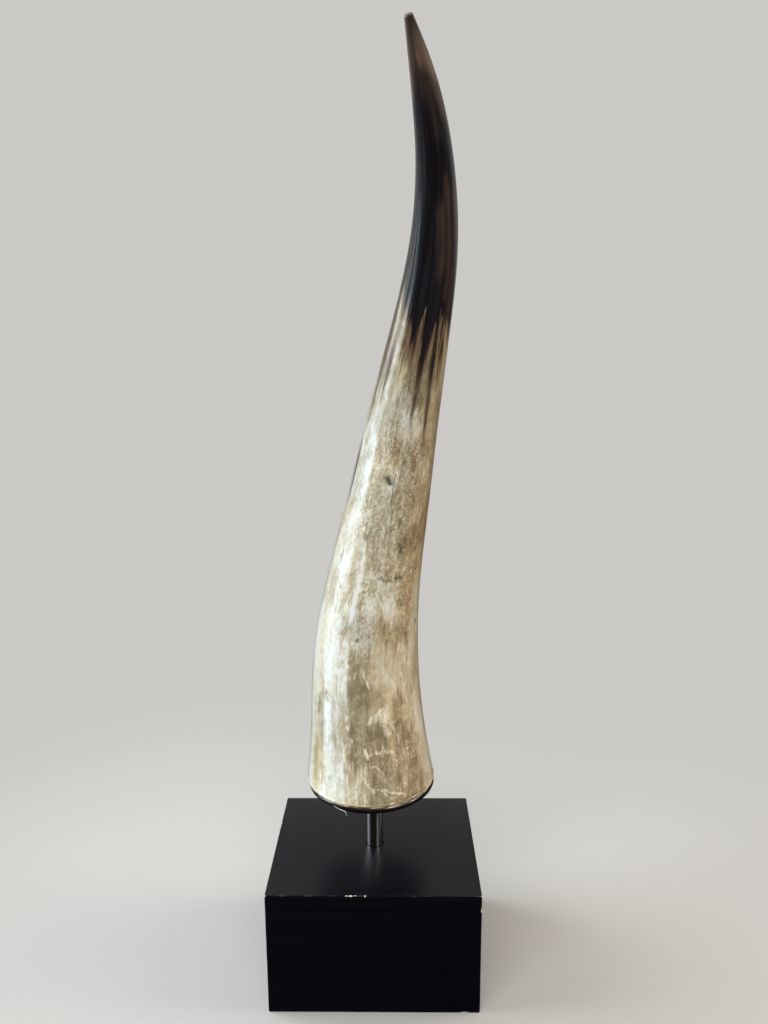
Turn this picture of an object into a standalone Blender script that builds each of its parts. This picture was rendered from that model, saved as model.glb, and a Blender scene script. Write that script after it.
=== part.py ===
"""Polished horn standing tip up on a steel rod and a lacquered wooden block, for Blender 4.5.

Metres, +Z up. The origin is the centre of the block's underside. The block's width runs along X,
its depth along Y, and the horn's tip sweeps towards -Y, the front.
"""

import math

import bmesh
import bpy
import numpy as np
from mathutils import Matrix, Vector

MM = 0.001
GAP = 0.3 * MM  # clear space kept between solids that touch

# Block
BLOCK_WIDTH = 127 * MM
BLOCK_DEPTH = 104 * MM
BLOCK_HEIGHT = 79 * MM
BLOCK_EDGE = 0.6 * MM

# Rod
ROD_RADIUS = 5.5 * MM
ROD_EDGE = 0.5 * MM
ROD_SIDES = 48
ROD_BARE = 43.5 * MM  # length that shows between the block and the disc
ROD_IN_BLOCK = 50 * MM
ROD_IN_HORN = 50 * MM

# Disc that closes the horn's wide end
DISC_RADIUS = 39.5 * MM
DISC_THICKNESS = 4.2 * MM
DISC_EDGE = 1.8 * MM
DISC_SIDES = 64
DISC_X = -2 * MM
DISC_Y = 1 * MM

# Horn: height, X and Y of its centre line, and radius, in millimetres. The first station is below
# the cut at the wide end and the last one is past the cut at the tip.
HORN_STATIONS = (
    (115, -1.5, -2.0, 41.7),
    (160, -4.5, 8.5, 36.0),
    (205, -5.0, 14.5, 33.0),
    (255, 1.0, 15.0, 28.5),
    (305, 10.0, 10.5, 24.5),
    (355, 19.0, 3.0, 20.5),
    (405, 28.5, -11.0, 16.2),
    (445, 34.0, -29.0, 12.7),
    (485, 32.5, -51.5, 9.0),
    (512, 26.5, -68.5, 6.0),
    (535, 18.5, -85.0, 1.3),
)
HORN_TIP_HEIGHT = 531.5 * MM
HORN_MOUTH_EDGE = 1.2 * MM
HORN_TIP_EDGE = 0.6 * MM
HORN_SIDES = 48
HORN_RINGS = 72
LEVELLING_HEIGHT = 60 * MM  # over it, the level section at the mouth turns square to the centre line
EDGE_STEPS = 3  # rings that round over each cut end

# Heights that follow from the sizes above
DISC_BOTTOM = BLOCK_HEIGHT + ROD_BARE
DISC_TOP = DISC_BOTTOM + DISC_THICKNESS
HORN_MOUTH = DISC_TOP + GAP
ROD_BOTTOM = BLOCK_HEIGHT - ROD_IN_BLOCK
ROD_TOP = HORN_MOUTH + ROD_IN_HORN


def clear_scene():
    for item in list(bpy.data.objects):
        bpy.data.objects.remove(item)


def make_collection(name):
    collection = bpy.data.collections.new(name)
    bpy.context.scene.collection.children.link(collection)
    return collection


def make_material(name, color, roughness, metallic=0.0, coat=0.0):
    material = bpy.data.materials.new(name)
    material.use_nodes = True
    shader = material.node_tree.nodes["Principled BSDF"]
    shader.inputs["Base Color"].default_value = (*color, 1.0)
    shader.inputs["Roughness"].default_value = roughness
    shader.inputs["Metallic"].default_value = metallic
    shader.inputs["Coat Weight"].default_value = coat
    return material


def add_object(name, mesh, collection, material=None):
    item = bpy.data.objects.new(name, mesh)
    collection.objects.link(item)
    if material:
        mesh.materials.append(material)
    return item


def bmesh_to_mesh(name, shape, smooth_angle=35):
    mesh = bpy.data.meshes.new(name)
    shape.to_mesh(mesh)
    shape.free()
    mesh.shade_smooth()
    mesh.set_sharp_from_angle(angle=math.radians(smooth_angle))
    return mesh


def cylinder_mesh(name, radius, height, sides):
    """Upright cylinder centred on its own origin."""
    shape = bmesh.new()
    bmesh.ops.create_cone(
        shape, cap_ends=True, segments=sides, radius1=radius, radius2=radius, depth=height
    )
    return bmesh_to_mesh(name, shape)


def add_bevel(item, width, segments):
    bevel = item.modifiers.new("rounded_edges", "BEVEL")
    bevel.width = width
    bevel.segments = segments
    bevel.limit_method = "ANGLE"
    bevel.angle_limit = math.radians(40)


def cut_bore(item, radius, bottom, top, cutters):
    """Cuts an upright round hole on the rod's axis, from bottom to top."""
    name = item.name + "_bore"
    cutter = add_object(name, cylinder_mesh(name, radius, top - bottom, ROD_SIDES), cutters)
    cutter.location.z = (bottom + top) / 2
    cutter.hide_render = True
    cutter.display_type = "WIRE"
    cut = item.modifiers.new("rod_bore", "BOOLEAN")
    cut.operation = "DIFFERENCE"
    cut.object = cutter


def make_block(parts, cutters):
    shape = bmesh.new()
    bmesh.ops.create_cube(shape, size=1.0)
    bmesh.ops.scale(shape, vec=(BLOCK_WIDTH, BLOCK_DEPTH, BLOCK_HEIGHT), verts=shape.verts)
    mesh = bmesh_to_mesh("base_block", shape)
    lacquer = make_material("black_lacquer", (0.012, 0.012, 0.013), roughness=0.35, coat=0.3)
    block = add_object("base_block", mesh, parts, lacquer)
    block.location.z = BLOCK_HEIGHT / 2
    add_bevel(block, BLOCK_EDGE, segments=2)
    cut_bore(block, ROD_RADIUS + GAP, ROD_BOTTOM - GAP, BLOCK_HEIGHT + ROD_RADIUS, cutters)
    return block


def make_rod(parts):
    mesh = cylinder_mesh("support_rod", ROD_RADIUS, ROD_TOP - ROD_BOTTOM, ROD_SIDES)
    steel = make_material("polished_steel", (0.56, 0.55, 0.54), roughness=0.16, metallic=1.0)
    rod = add_object("support_rod", mesh, parts, steel)
    rod.location.z = (ROD_BOTTOM + ROD_TOP) / 2
    add_bevel(rod, ROD_EDGE, segments=1)
    return rod


def make_disc(parts, cutters):
    mesh = cylinder_mesh("foot_disc", DISC_RADIUS, DISC_THICKNESS, DISC_SIDES)
    metal = make_material("dark_metal", (0.10, 0.095, 0.09), roughness=0.2, metallic=1.0)
    disc = add_object("foot_disc", mesh, parts, metal)
    disc.location = (DISC_X, DISC_Y, (DISC_BOTTOM + DISC_TOP) / 2)
    add_bevel(disc, DISC_EDGE, segments=3)
    cut_bore(disc, ROD_RADIUS + GAP, DISC_BOTTOM - ROD_RADIUS, DISC_TOP + ROD_RADIUS, cutters)
    return disc


def natural_spline(knots, values):
    """The smoothest cubic curve through the values: a function of x that gives value and slope."""
    step = np.diff(knots)
    rise = np.diff(values) / step
    count = len(knots)
    matrix = np.eye(count)
    right = np.zeros(count)
    for i in range(1, count - 1):
        matrix[i, i - 1 : i + 2] = step[i - 1], 2 * (step[i - 1] + step[i]), step[i]
        right[i] = 6 * (rise[i] - rise[i - 1])
    bend = np.linalg.solve(matrix, right)

    def curve(x):
        i = int(np.clip(np.searchsorted(knots, x) - 1, 0, count - 2))
        t = x - knots[i]
        start_slope = rise[i] - step[i] * (2 * bend[i] + bend[i + 1]) / 6
        twist = (bend[i + 1] - bend[i]) / step[i]
        value = values[i] + t * (start_slope + t * (bend[i] / 2 + t * twist / 6))
        slope = start_slope + t * (bend[i] + t * twist / 2)
        return value, slope

    return curve


STATIONS = np.array(HORN_STATIONS) * MM
HORN_X, HORN_Y, HORN_RADIUS = (natural_spline(STATIONS[:, 0], STATIONS[:, i]) for i in (1, 2, 3))


def horn_section(height):
    """Centre, facing and radius of the horn's section at a height: level at the mouth, and square
    to the centre line where the levelling height ends."""
    x, x_slope = HORN_X(height)
    y, y_slope = HORN_Y(height)
    blend = min(1.0, (height - HORN_MOUTH) / LEVELLING_HEIGHT)
    turn = blend * blend * (3 - 2 * blend)
    facing = Vector((x_slope * turn, y_slope * turn, 1.0)).normalized()
    return Vector((x, y, height)), facing, HORN_RADIUS(height)[0]


def horn_sections():
    """Every section from the wide end to the tip, with both cut ends rounded over."""
    centre, facing, radius = horn_section(HORN_MOUTH)
    angles = [math.pi / 2 * i / EDGE_STEPS for i in range(EDGE_STEPS)]
    for angle in angles:
        inset = HORN_MOUTH_EDGE * (1 - math.sin(angle))
        lift = HORN_MOUTH_EDGE * (1 - math.cos(angle))
        yield centre + facing * lift, facing, radius - inset
    first = HORN_MOUTH + HORN_MOUTH_EDGE
    for i in range(HORN_RINGS):
        # a sine makes the rings close up towards the thin end
        share = math.sin(math.pi / 2 * i / (HORN_RINGS - 1))
        yield horn_section(first + (HORN_TIP_HEIGHT - first) * share)
    centre, facing, radius = horn_section(HORN_TIP_HEIGHT)
    for angle in reversed(angles):
        inset = HORN_TIP_EDGE * (1 - math.sin(angle))
        lift = HORN_TIP_EDGE * math.cos(angle)
        yield centre + facing * lift, facing, radius - inset


def make_horn(parts, cutters):
    shape = bmesh.new()
    rings = []
    for centre, facing, radius in horn_sections():
        across = Vector((0.0, 1.0, 0.0)).cross(facing).normalized()
        back = facing.cross(across)
        turned = Matrix((across, back, facing)).transposed().to_4x4()
        made = bmesh.ops.create_circle(
            shape, segments=HORN_SIDES, radius=radius, matrix=Matrix.Translation(centre) @ turned
        )
        rings.append(made["verts"])
    for lower, upper in zip(rings, rings[1:]):
        for i in range(HORN_SIDES):
            j = (i + 1) % HORN_SIDES
            shape.faces.new((lower[i], lower[j], upper[j], upper[i]))
    shape.faces.new(tuple(reversed(rings[0])))
    shape.faces.new(tuple(rings[-1]))
    bmesh.ops.recalc_face_normals(shape, faces=shape.faces)
    mesh = bmesh_to_mesh("horn", shape)
    keratin = make_material("horn", (0.62, 0.55, 0.40), roughness=0.2, coat=0.5)
    horn = add_object("horn", mesh, parts, keratin)
    cut_bore(horn, ROD_RADIUS + GAP, HORN_MOUTH - ROD_RADIUS, ROD_TOP + GAP, cutters)
    return horn


def main():
    clear_scene()
    parts = make_collection("horn_on_stand")
    cutters = make_collection("cutters")
    make_block(parts, cutters)
    make_rod(parts)
    make_disc(parts, cutters)
    make_horn(parts, cutters)


main()
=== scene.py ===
"""Looks of the polished horn on its rod, disc and block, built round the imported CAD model."""

import math
from types import SimpleNamespace

import bmesh
import bpy
import numpy as np
from mathutils import Matrix, Vector


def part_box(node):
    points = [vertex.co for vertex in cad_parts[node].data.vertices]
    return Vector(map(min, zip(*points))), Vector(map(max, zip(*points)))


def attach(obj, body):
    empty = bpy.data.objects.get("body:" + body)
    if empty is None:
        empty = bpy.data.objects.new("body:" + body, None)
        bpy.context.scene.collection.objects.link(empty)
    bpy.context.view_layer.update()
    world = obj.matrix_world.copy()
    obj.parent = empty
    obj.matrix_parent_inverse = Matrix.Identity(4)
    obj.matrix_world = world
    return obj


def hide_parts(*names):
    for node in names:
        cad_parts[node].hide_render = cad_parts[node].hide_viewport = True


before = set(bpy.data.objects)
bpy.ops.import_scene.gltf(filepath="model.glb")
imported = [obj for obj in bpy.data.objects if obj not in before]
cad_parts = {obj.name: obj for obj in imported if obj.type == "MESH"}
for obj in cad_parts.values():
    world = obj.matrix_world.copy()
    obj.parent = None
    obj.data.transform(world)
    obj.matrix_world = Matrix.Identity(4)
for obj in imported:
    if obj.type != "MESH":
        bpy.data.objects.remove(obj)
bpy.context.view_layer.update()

MM = 0.001
GAP = 0.3 * MM

# Camera, placed as for the photograph: a wide lens a little above the middle of the horn
CAMERA_PLACE = (0.0127, -0.4571, 0.3865)
CAMERA_YAW = math.radians(0.72)
CAMERA_PITCH = math.radians(-11.14)
CAMERA_ROLL = math.radians(-0.32)
PICTURE_HEIGHT_PX = 1024
FOCAL_LENGTH_PX = 785.5
SENSOR_MM = 36

# Horn: height, X and Y of its centre line, and radius, in millimetres, as in the CAD model
HORN_STATIONS = (
    (115, -1.5, -2.0, 41.7),
    (160, -4.5, 8.5, 36.0),
    (205, -5.0, 14.5, 33.0),
    (255, 1.0, 15.0, 28.5),
    (305, 10.0, 10.5, 24.5),
    (355, 19.0, 3.0, 20.5),
    (405, 28.5, -11.0, 16.2),
    (445, 34.0, -29.0, 12.7),
    (485, 32.5, -51.5, 9.0),
    (512, 26.5, -68.5, 6.0),
    (535, 18.5, -85.0, 1.3),
)
HORN_TIP_HEIGHT = 531.5 * MM
HORN_MOUTH_EDGE = 1.2 * MM
HORN_TIP_EDGE = 0.6 * MM
LEVELLING_HEIGHT = 60 * MM
HORN_SIDES = 240
HORN_ROWS = 390
EDGE_ROWS = 6  # rows that round over each cut end
MOUTH_SPACING = 0.62  # of the rows at the wide end, as a share of their even spacing
FRONT_CROWDING = 0.62  # how much closer the points round the horn lie in front
FIBRE_RADIUS = 30 * MM  # the horn's grain is drawn on a straight rod of this radius
PATTERN_SEED = 7
SHAPE_SEED = 3
FRAY_SEED = 11
GLUE_SEED = 5
CHIP_SEED = 2
STROKE_SWAY = 0.55  # how far lines wander sideways, in millimetres
STROKE_NOD = 0.65  # and lengthwise
# Low waves that hand polishing leaves
WAVE_COUNT = 14
WAVE_DEPTH = 0.12 * MM
WAVE_LENGTHS = (25 * MM, 120 * MM)
MOST_WAVE_TURNS = 5  # round the horn
# A shallow polished hollow near the wide end: angle, height, half width, half length and depth
HOLLOW = (-42, 155, 22, 20, 0.4)
DISC_EDGE = 1.8 * MM
ROD_EDGE = 0.5 * MM
BACKDROP_COLOR = (0.6, 0.585, 0.56)
FLOOR_COLOR = (0.5, 0.49, 0.475)
FLOOR_HALF_WIDTH = 6
FLOOR_FADE = (0.12, 0.5)  # distances from the origin over which the floor turns into the backdrop
# Light that the part gets from all round: from behind, low and high, from in front, and from below
BEHIND_LOW = (0.37, 0.36, 0.345)
BEHIND_HIGH = (0.58, 0.56, 0.535)
IN_FRONT = (0.125, 0.125, 0.128)
BELOW = (0.035, 0.022, 0.018)
DAYLIGHT = (0.64, 0.85, 1.0)
# Area lights: name, use, place, aim, size, watts and colour, and for some a roll and a spread in
# degrees. Soft ones only shine on things, mirrored ones are only seen in them, full ones do both.
LIGHTS = (
    ("high", "mirrored", (-1.3, -0.26, 0.26), (-0.02, 0, 0.2), (0.4, 0.32), 0.105, DAYLIGHT, 0, 36),
    (
        "middle", "mirrored", (-1.3, 0.07, 0.165), (-0.02, 0, 0.25), (0.26, 0.17), 0.0138,
        DAYLIGHT, 0, 24
    ),
    (
        "edge", "mirrored", (-1.3, 0.34, 0.4), (0, 0, 0.35), (0.04, 0.28), 0.22,
        (0.78, 0.93, 1), -55, 180
    ),
    (
        "low", "mirrored", (-0.9, -0.13, -0.037), (-0.028, -0.018, 0.168), (0.39, 0.034), 0.023,
        DAYLIGHT, 10, 34
    ),
    ("left", "full", (-1.3, 0.18, 1.02), (0, 0, 0.3), (1.1, 1.1), 28.5, (0.86, 0.95, 1)),
    ("front_left", "soft", (-0.7, -1.2, 1), (0, 0, 0.3), (0.9, 0.9), 10.8, (0.98, 0.99, 1)),
    ("front", "soft", (0.15, -1.53, 0.8), (0, 0, 0.3), (1, 1), 13.8, (1, 0.96, 0.9)),
    ("right", "soft", (1.27, 0.05, 0.85), (0, 0, 0.3), (0.7, 1.1), 13.8, (1, 0.92, 0.81)),
    ("rod", "mirrored", (0.83, -1, 0.98), (0, 0, 0.2), (0.14, 0.6), 7, (1, 0.86, 0.72)),
    (
        "rim", "mirrored", (1.1, -0.18, 0.52), (0, 0, 0.12), (0.1, 0.1), 0.02, (0.95, 0.97, 1),
        0, 20
    ),
)

# The horn's pattern is placed by angle round the horn in degrees, 0 at the front and growing to the
# right, and by height in millimetres.

# Lengthwise panels: first and last angle, low and high height, tone, from 0, clear olive brown, to
# 1, opaque cream, and how many millimetres their sides take to fade
# Two panels, marked below, are partly or wholly painted highlight rather than the horn's own tone.
PANELS = (
    # The third panel here, -53 to -29 degrees and 156 to 184 mm, is partly painted highlight: paler
    # than the horn's tone there, standing in for part of the low reflection.
    (-90, -20, 120, 190, 0.76, 6), (-64, -46, 134, 158, 0.46, 5), (-53, -29, 156, 184, 0.58, 3),
    (-28, -18, 150, 184, 0.6, 4), (-20, 2, 120, 146, 0.44, 6), (2, 34, 120, 150, 0.17, 6),
    (34, 90, 120, 152, 0.27, 6), (-16, 22, 146, 170, 0.04, 4), (-8, 2, 158, 165, 0.25, 2),
    (22, 90, 150, 166, 0.23, 4), (4, 30, 168, 188, 0.47, 3), (30, 42, 163, 184, 0.13, 3),
    (42, 66, 163, 192, 0.42, 2), (4, 90, 186, 222, 0.53, 4), (12, 32, 190, 218, 0.66, 5),
    (32, 46, 192, 220, 0.63, 4), (-17, 5, 166, 214, 0.3, 1.2), (-90, -18, 184, 238, 0.88, 1.6),
    (-30, -28.2, 184, 194, 0.55, 1), (-24.5, -22.8, 184, 191, 0.5, 1),
    (-20.8, -19.8, 184, 189, 0.5, 1), (-46, -40, 184, 188, 0.6, 2), (-32, 8, 218, 237, 0.56, 7),
    (12, 54, 218, 236, 0.22, 5), (-16, 28, 236, 264, 0.72, 5), (-14, 8, 238, 243, 0.78, 5),
    (12, 38, 262, 279, 0.33, 4), (36, 90, 238, 302, 0.38, 5), (57, 90, 120, 264, 0.66, 8),
    (-22.5, -17, 234, 262, 1.15, 2.2), (-21, -15.5, 250, 278, 0.95, 2.4),
    (-24, -21, 244, 256, 0.8, 1.4), (-90, -34, 236, 300, 0.7, 5), (-90, -64, 124, 236, 0.98, 5),
    (-32, 3, 278, 300, 0.55, 5), (4, 18, 282, 316, 0.5, 4), (18, 62, 278, 302, 0.23, 5),
    (-8, 12, 312, 328, 0.76, 4), (-30, -8, 300, 328, 0.5, 4), (-10, 5, 328, 347, 0.26, 3),
    (-38, -20, 326, 346, 0.42, 4), (5, 34, 300, 346, 0.24, 5), (34, 90, 302, 360, 0.3, 5),
    (-30, 20, 346, 373, 0.42, 5), (-30, 22, 345, 362, 0.68, 5), (-90, -38, 300, 358, 0.62, 5),
    (-90, -38, 356, 374, 0.47, 5), (-38, -27, 345, 395, 0.33, 4), (-90, -38, 372, 420, 0.22, 6),
    (-27, -12, 373, 390, 0.37, 2), (-12, 5, 373, 392, 0.16, 3), (-27, 3, 388, 412, -0.05, 4),
    # The last panel, -45 to -35 degrees and 298 to 330 mm, is a painted highlight: a cream streak
    # that joins up the polish's long reflection.
    (5, 31, 362, 410, 0.16, 3), (31, 90, 350, 420, 0.35, 4), (-45, -35, 298, 330, 0.8, 3),
)

# Panels of mottling: angles, heights and strength
MOTTLED = (
    (-34, -22, 230, 272, 0.6), (-16, 62, 240, 302, 0.9), (-36, 4, 212, 238, 0.6),
    (-20, 4, 198, 218, 0.5), (16, 56, 218, 238, 0.45), (20, 60, 276, 290, 1),
    (-34, 18, 276, 345, 0.85), (-20, 18, 345, 382, 0.85), (-60, -24, 198, 224, 0.5),
    (15, 62, 300, 345, 0.7), (-60, -48, 262, 345, 0.55), (-30, 60, 127, 165, 0.3),
)

# Browner panels
BROWN = (
    (34, 90, 238, 305, 0.9), (24, 90, 120, 238, 0.5), (4, 26, 172, 238, 0.35),
    (14, 54, 218, 236, 0.4), (0, 26, 146, 153, 0.6), (3, 11, 194, 206, 0.9), (-8, 5, 328, 346, 0.9),
    (50, 68, 305, 323, 1), (20, 70, 305, 350, 0.5), (-28, 0, 386, 408, 0.8),
    (44, 62, 388, 408, 0.55), (46, 64, 356, 374, 0.5), (34, 52, 153, 163, 1),
)

# Yellow panels
YELLOW = (
    (25, 30, 151, 165, 1), (17, 31, 168, 192, 0.5), (10, 34, 214, 228, 0.45),
    (-28, -12, 372, 392, 0.8), (-70, -50, 196, 226, 0.4), (-70, -46, 127, 160, 0.35),
    (12, 38, 262, 278, 0.35), (-22, 0, 296, 312, 0.35),
)

# Greyer panels
ASHEN = (
    (-90, -36, 300, 424, 1), (-36, 20, 340, 378, 0.8), (-38, 10, 214, 238, 0.7),
    (-34, 3, 276, 318, 0.65), (-32, 4, 372, 414, 0.9), (-54, -16, 150, 187, 0.8),
    (-44, -20, 127, 152, 0.6), (-50, -18, 186, 236, 0.3), (-60, -34, 236, 300, 0.4),
    (8, 34, 310, 348, 0.3),
)

# Panels of small curls and rings of cream
CURLED = (
    (-30, 60, 127, 160, 0.3), (-36, 40, 268, 348, 0.9), (-14, 30, 345, 372, 0.6),
    (24, 62, 150, 172, 0.7), (-34, 30, 206, 262, 0.45),
)

# Cream marks on the surface: half width, strength and points
CREAM_MARKS = (
    (1.5, 0.8, (4.5, 168.8), (8, 171.2), (13, 173.5), (20, 175.3)),
    (1.4, 0.62, (8, 169), (13, 171.3), (18.5, 173.6)), (1.3, 0.6, (12, 169.8), (18, 172)),
    (2.6, 0.8, (21, 175), (21.5, 169)), (2, 0.78, (21.5, 170), (21.5, 162)),
    (0.4, 0.7, (26, 167), (29, 163.5), (32, 159.5)),
    (0.4, 0.6, (29, 166), (33, 161.5), (31, 156.5)),
    (1, 0.9, (-0.8, 154.6), (0.8, 153.2), (1.8, 151.4)),
    (0.9, 0.62, (2, 153), (9, 153.4), (16, 153), (25, 152.4)),
    (0.5, 0.62, (15, 155.4), (16.4, 150.6)), (0.4, 0.55, (19.6, 154.6), (19, 149.4)),
    (0.8, 0.95, (-16.8, 172.6), (-17.4, 170.2)), (0.6, 0.9, (-17.2, 167), (-16.4, 165.4)),
    (0.5, 0.75, (-24.5, 166.4), (-22.5, 168.6)), (0.3, 0.45, (-27, 160.4), (-15, 160.6)),
    (0.3, 0.45, (-26, 158.4), (-14, 158.9)),
    (0.4, 0.8, (3, 147.4), (8, 146.6), (12, 145.2), (14.7, 142.6), (12.8, 141.7)),
    (0.3, 0.6, (12.8, 141.7), (9.8, 143.6), (9.2, 145.8)), (0.3, 0.7, (25.5, 149), (29.5, 148.2)),
    (0.3, 0.7, (24.6, 146.6), (29.4, 146)), (0.3, 0.7, (25.2, 144.4), (29.6, 143.2)),
    (0.3, 0.55, (30.5, 149), (27, 143.6)),
    (0.4, 0.8, (32.6, 139.2), (34.6, 138.9), (35, 137.6), (33.2, 137.2)),
    (0.5, 0.7, (20.6, 140.6), (21.4, 139.8)),
    (0.7, 0.72, (-6.3, 146), (-4, 141.6), (-1, 139.4), (4, 136.2), (12.6, 135.3), (19, 133.2)),
    (0.6, 0.75, (19, 133.2), (25, 132.5), (33.5, 131.6)),
    (0.6, 0.65, (12.6, 135.1), (14.6, 132.4), (20.6, 130), (24, 131)),
    (0.3, 0.6, (-8, 140.4), (-2, 138.6), (5, 138.2)),
    (0.3, 0.6, (-5, 142.8), (0, 140.6), (3, 141.4)), (0.3, 0.55, (-3, 144.6), (0.5, 141.8)),
    (0.3, 0.6, (25, 136), (29, 134.2), (27, 132)),
    (0.7, 0.6, (-21, 158), (-20, 146), (-18, 138), (-17, 127)),
    (0.8, 0.6, (-42, 150), (-36, 144), (-30.5, 137)),
    (0.5, 0.8, (-36, 133.1), (-32, 134.2), (-29.8, 136.8)), (0.6, 0.6, (-12, 136), (-10, 127)),
    (0.5, 0.7, (-4, 133), (-3, 127)), (0.6, 0.85, (41, 198), (43.5, 192), (44, 185)),
    (0.6, 0.9, (-1.4, 200.5), (1.5, 195.5), (4.8, 190.4)), (0.4, 0.7, (-8.5, 200), (-10, 196)),
    (0.4, 0.6, (46, 157), (51, 153), (55, 150)), (0.4, 0.55, (51, 158), (54, 153)),
    (0.5, 0.7, (-34, 212), (-31, 203)), (0.4, 0.9, (-27.5, 289.8), (-23.5, 287.6), (-19, 287.2)),
    (0.3, 0.7, (-29, 287.8), (-26, 289.8)),
    (0.3, 0.6, (-6, 289), (-3, 290.2), (0, 288.6), (-4, 287.5)),
    (0.5, 0.8, (-30, 300.6), (-25, 300)), (0.4, 0.7, (-28, 308.6), (-24, 307.8)),
    (0.4, 0.6, (-30, 343.6), (-22, 342.8)),
    (0.3, 0.6, (-5, 340), (-3, 341.5), (-1, 340), (-3, 338)),
    (0.3, 0.6, (-4, 334), (-1, 331.5), (-3, 330)), (0.5, 0.5, (-25, 311), (-18, 313.6), (-11, 316)),
    (0.6, 0.5, (2, 329), (4, 322), (7, 317.5)),
    (0.35, 0.62, (10.6, 262), (9.4, 277), (7.4, 289), (6.8, 301)),
    (1.2, 0.45, (13, 312.6), (19, 312), (24, 309.4)),
    (0.4, 0.6, (-18, 408), (-16, 405), (-19, 404)), (0.4, 0.55, (26, 410), (29, 407), (31, 404)),
)

# Dark lines and smudges: half width, strength and points
DARK_MARKS = (
    (0.32, 0.84, (10.4, 274), (9.6, 281), (8.4, 288), (6.6, 295), (5.2, 303), (4, 313)),
    (0.32, 0.8, (4, 313), (2.2, 325)), (0.8, 0.5, (-35, 184), (-44, 184.8), (-51, 182.4)),
    (1.2, 0.58, (-52, 181.6), (-54, 177), (-55, 172)), (0.8, 0.55, (-55.5, 171), (-56.5, 163)),
    (0.5, 0.62, (-52, 240), (-53, 272)), (0.5, 0.6, (-25, 264), (-23, 242)),
    (0.6, 0.75, (11.2, 293), (13, 291.6), (17, 291.8)),
    (0.6, 0.65, (19.4, 294), (18, 296.8), (13.6, 297.2)), (0.8, 0.75, (9.6, 294), (9.2, 290.6)),
    (1.15, 1.1, (-6.6, 321), (-5, 318.8), (-2.6, 318.2)),
    (1.5, 0.66, (-10, 321.6), (-4, 321.4), (0.5, 319.4)), (1.3, 0.78, (7.2, 261.6), (11.4, 260.6)),
    (1.5, 0.8, (27, 262.2), (33, 262.6)), (0.7, 0.55, (12, 259.4), (24, 259.9)),
    (0.9, 0.95, (-10.8, 221.6), (-9.2, 220.4)), (1.5, 0.45, (-24, 230), (-16, 226), (-4, 229)),
    (0.8, 0.4, (-55, 204.6), (-52.6, 203.2)), (0.8, 0.4, (-56, 202.4), (-52, 202)),
    (1.3, 0.95, (66.4, 231.8), (68.2, 230.4)), (1.1, 0.75, (29, 287), (35, 285)),
    (1, 0.65, (25, 283), (28, 278)), (1, 0.7, (46, 278.4), (50, 280), (55, 284)),
    (2, 0.5, (38.2, 159.6), (43.4, 156.6)), (0.8, 0.45, (51, 160), (53, 158)),
    (0.9, 0.6, (33, 226), (35.6, 223)), (0.9, 0.38, (47, 234), (50, 231)),
    (0.8, 0.62, (37, 246), (41, 244.6)), (1.2, 0.6, (-61, 361.6), (-60.6, 358.6)),
)

# Where the dark upper horn ends: angles and heights of its edge, then the fingers that run down
# from it and the light gaps that run up into it, each with its half width at the top and its points
DARK_EDGE = (
    (-180, 405), (-150, 418), (-120, 402), (-95, 414), (-60, 422), (-48, 412), (-38, 416),
    (-31, 410), (-26, 401), (-20, 403), (-13, 396), (-8, 399), (-3, 412), (1, 416), (5, 407),
    (12, 404), (20, 402), (30, 407), (40, 409), (50, 411), (60, 407), (75, 404), (95, 400),
    (120, 412), (150, 398), (180, 405),
)
DARK_FINGERS = (
    (1.9, (9, 413), (10.5, 398), (11.5, 384), (12.5, 366)), (0.6, (12.4, 372), (12.4, 357)),
    (1.5, (31, 412), (32.5, 398), (34, 378), (35, 362)), (0.5, (35.5, 372), (38, 344)),
    (1.1, (44, 412), (43.5, 392)), (0.6, (54, 396), (54, 380)), (1.2, (-9, 406), (-8, 392)),
    (1.1, (-17, 408), (-18, 399)), (0.8, (-26, 408), (-28, 391)), (1.7, (19, 412), (17, 396)),
    (0.8, (-50, 388), (-48, 366)), (0.9, (-74, 326), (-72, 304)), (0.8, (-73, 398), (-72, 374)),
)
LIGHT_GAPS = (
    (0.9, (1, 386), (1, 416)), (1.3, (25, 396), (26, 410)), (0.7, (40, 400), (39, 411)),
)

# Brown light through the dark upper horn: half width, strength and points
GLOWS = (
    (2, 0.22, (11, 461), (15, 451), (20, 438)), (1.2, 0.17, (26, 474), (22, 460)),
    (1.4, 0.22, (31, 469), (35, 452), (37, 436)), (1, 0.3, (38, 448), (38, 424)),
    (1.2, 0.12, (26, 448), (25, 434)), (1.8, 0.18, (54, 466), (53, 438), (54, 418)),
    (2.2, 0.6, (8, 522), (30, 519), (56, 515)), (1.9, 0.32, (-56, 521), (-20, 519.5), (5, 520)),
    (0.8, 0.9, (-12, 520), (-8, 518)), (2, 0.13, (-30, 512), (20, 509)),
    (2, 0.24, (34, 511), (48, 503)), (1.6, 0.1, (10, 504), (16, 494)),
)

# Block
BLOCK_EDGE = 0.6 * MM
# Chips in the block's edges: place and size in millimetres
CHIPS = (
    ((-13.3, -52, 79), (1.7, 0.7, 0.6)), ((-15.6, -52, 79), (1.2, 0.5, 0.4)),
    ((-10.4, -52, 79), (0.6, 0.6, 0.4)), ((-4.6, -52, 79), (0.6, 0.7, 0.8)),
    ((-63.5, -52, 79), (0.9, 0.9, 1.1)), ((-63.5, -52, 0), (0.9, 0.9, 0.8)),
    ((-42.9, -52, 0), (0.7, 0.6, 0.7)), ((53.9, -52, 0), (3.0, 0.8, 0.9)),
    ((63.5, -52, 69.7), (0.6, 0.6, 2.3)), ((63.5, -52, 79), (0.7, 0.7, 0.6)),
    ((63.5, -52, 0), (0.8, 0.8, 0.7)), ((-63.5, 21, 79), (0.5, 1.6, 0.5)),
    ((30, 52, 79), (1.4, 0.6, 0.5)), ((63.5, 52, 34), (0.6, 0.6, 1.8)),
)

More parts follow.
